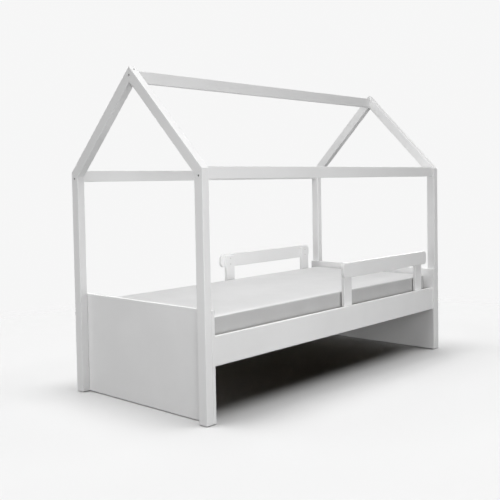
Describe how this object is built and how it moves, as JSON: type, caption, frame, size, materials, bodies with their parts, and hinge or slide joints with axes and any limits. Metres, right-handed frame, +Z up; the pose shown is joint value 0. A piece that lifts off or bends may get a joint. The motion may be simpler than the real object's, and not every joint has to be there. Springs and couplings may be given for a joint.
{
  "type": "house frame bed",
  "caption": "White child's bed in a timber house frame: gable ends, ridge and eave beams, flat end panels, side rails with slats, two short side guards and a loose mattress.",
  "frame": {"origin": "middle of the footprint, on the floor", "axes": "+X along the bed towards the head end with the guards, +Y from the front side to the rear side, +Z up"},
  "size_m": [2.01, 0.94, 1.59],
  "materials": {
    "white_lacquer": "satin white lacquer, closed grain, eased edges",
    "mattress_cover": "plain pale knitted cover",
    "slat_pine": "planed pine, unlacquered",
    "frame_screw_steel": "blackened steel",
    "screw_steel": "zinc-plated",
    "cam_zinc": "die-cast zinc, matt",
    "dowel_beech": "fluted beech",
    "glide_plastic": "moulded, matt"
  },
  "bodies": {
    "frame": {"apex_screws": "frame_screw_steel", "cam_bolts": "screw_steel", "cam_locks": "cam_zinc", "eave_beam_screws": "frame_screw_steel", "floor_glides": "glide_plastic", "foot_front_post": "white_lacquer", "foot_front_rafter": "white_lacquer", "foot_panel": "white_lacquer", "foot_rear_post": "white_lacquer", "foot_rear_rafter": "white_lacquer", "front_eave_beam": "white_lacquer", "front_guard_board": "white_lacquer", "front_guard_foot_post": "white_lacquer", "front_guard_head_post": "white_lacquer", "front_ledger": "slat_pine", "front_rail": "white_lacquer", "guard_board_screws": "screw_steel", "guard_rail_screws": "screw_steel", "head_front_post": "white_lacquer", "head_front_rafter": "white_lacquer", "head_panel": "white_lacquer", "head_rear_post": "white_lacquer", "head_rear_rafter": "white_lacquer", "ledger_screws": "screw_steel", "mitre_dowels": "dowel_beech", "panel_dowels": "dowel_beech", "rail_dowels": "dowel_beech", "rear_eave_beam": "white_lacquer", "rear_guard_board": "white_lacquer", "rear_guard_foot_post": "white_lacquer", "rear_guard_head_post": "white_lacquer", "rear_ledger": "slat_pine", "rear_rail": "white_lacquer", "ridge_beam": "white_lacquer", "ridge_beam_screws": "frame_screw_steel", "slat_01": "slat_pine", "slat_02": "slat_pine", "slat_03": "slat_pine", "slat_04": "slat_pine", "slat_05": "slat_pine", "slat_06": "slat_pine", "slat_07": "slat_pine", "slat_08": "slat_pine", "slat_09": "slat_pine", "slat_10": "slat_pine", "slat_11": "slat_pine", "slat_12": "slat_pine", "slat_13": "slat_pine", "slat_14": "slat_pine", "slat_15": "slat_pine", "slat_screws": "screw_steel"},
    "mattress": {"mattress": "mattress_cover"}
  },
  "joints": [
    {"name": "mattress_lift", "type": "slide", "parent": "frame", "child": "mattress", "axis": [0, 0, 1], "range_m": [0, 0.3]}
  ]
}
